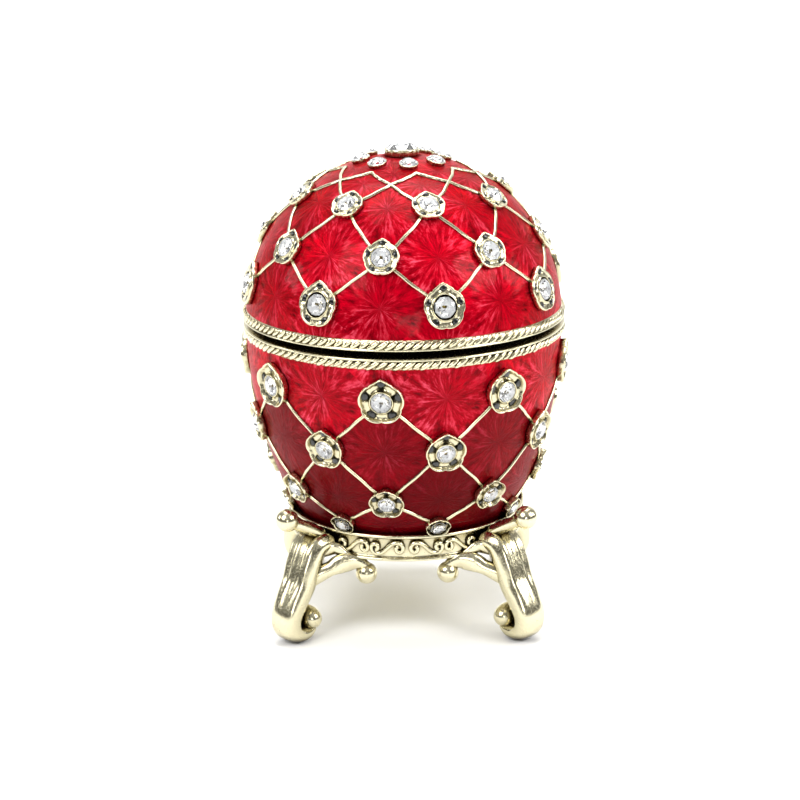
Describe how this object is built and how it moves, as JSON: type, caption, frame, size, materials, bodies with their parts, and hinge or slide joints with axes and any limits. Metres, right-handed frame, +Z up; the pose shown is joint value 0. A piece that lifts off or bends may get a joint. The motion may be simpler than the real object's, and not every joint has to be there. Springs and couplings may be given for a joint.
{
  "type": "jewelled egg trinket box",
  "caption": "Egg-shaped hinged trinket box of enamelled metal with stones in flower cups, on a cast stand with scrolled legs.",
  "frame": {"origin": "on the egg's upright axis, on the surface that the four feet stand on", "axes": "+Z up, -Y to the front, +Y to the hinge at the back, +X to the right seen from the front"},
  "size_m": [0.046, 0.0468, 0.0665],
  "materials": {
    "gold_plate": "polished pale gold plate",
    "red_enamel": "glossy translucent red enamel over engraved rays, with gold plated wires and bands",
    "crystal": "clear faceted crystal"
  },
  "bodies": {
    "base": {"stand": "gold_plate", "bowl": "red_enamel", "hinge_pin": "gold_plate", "stone_d_1": "crystal", "stone_d_2": "crystal", "stone_d_3": "crystal", "stone_d_4": "crystal", "stone_d_5": "crystal", "stone_d_6": "crystal", "stone_d_7": "crystal", "stone_d_8": "crystal", "stone_e_1": "crystal", "stone_e_2": "crystal", "stone_e_3": "crystal", "stone_e_4": "crystal", "stone_e_5": "crystal", "stone_e_6": "crystal", "stone_e_7": "crystal", "stone_e_8": "crystal"},
    "lid": {"lid": "red_enamel", "stone_top": "crystal", "stone_crown_1": "crystal", "stone_crown_2": "crystal", "stone_crown_3": "crystal", "stone_crown_4": "crystal", "stone_crown_5": "crystal", "stone_crown_6": "crystal", "stone_crown_7": "crystal", "stone_crown_8": "crystal", "stone_c_1": "crystal", "stone_c_2": "crystal", "stone_c_3": "crystal", "stone_c_4": "crystal", "stone_c_5": "crystal", "stone_c_6": "crystal", "stone_c_7": "crystal", "stone_c_8": "crystal", "stone_b_1": "crystal", "stone_b_2": "crystal", "stone_b_3": "crystal", "stone_b_4": "crystal", "stone_b_5": "crystal", "stone_b_6": "crystal", "stone_b_7": "crystal", "stone_b_8": "crystal", "stone_a_1": "crystal", "stone_a_2": "crystal", "stone_a_3": "crystal", "stone_a_4": "crystal", "stone_a_5": "crystal", "stone_a_6": "crystal", "stone_a_7": "crystal", "stone_a_8": "crystal"}
  },
  "joints": [
    {"name": "lid_hinge", "type": "hinge", "parent": "base", "child": "lid", "pos_m": [0, 0.0228, 0.04206], "axis": [-1, 0, 0], "range_deg": [0, 95]}
  ]
}
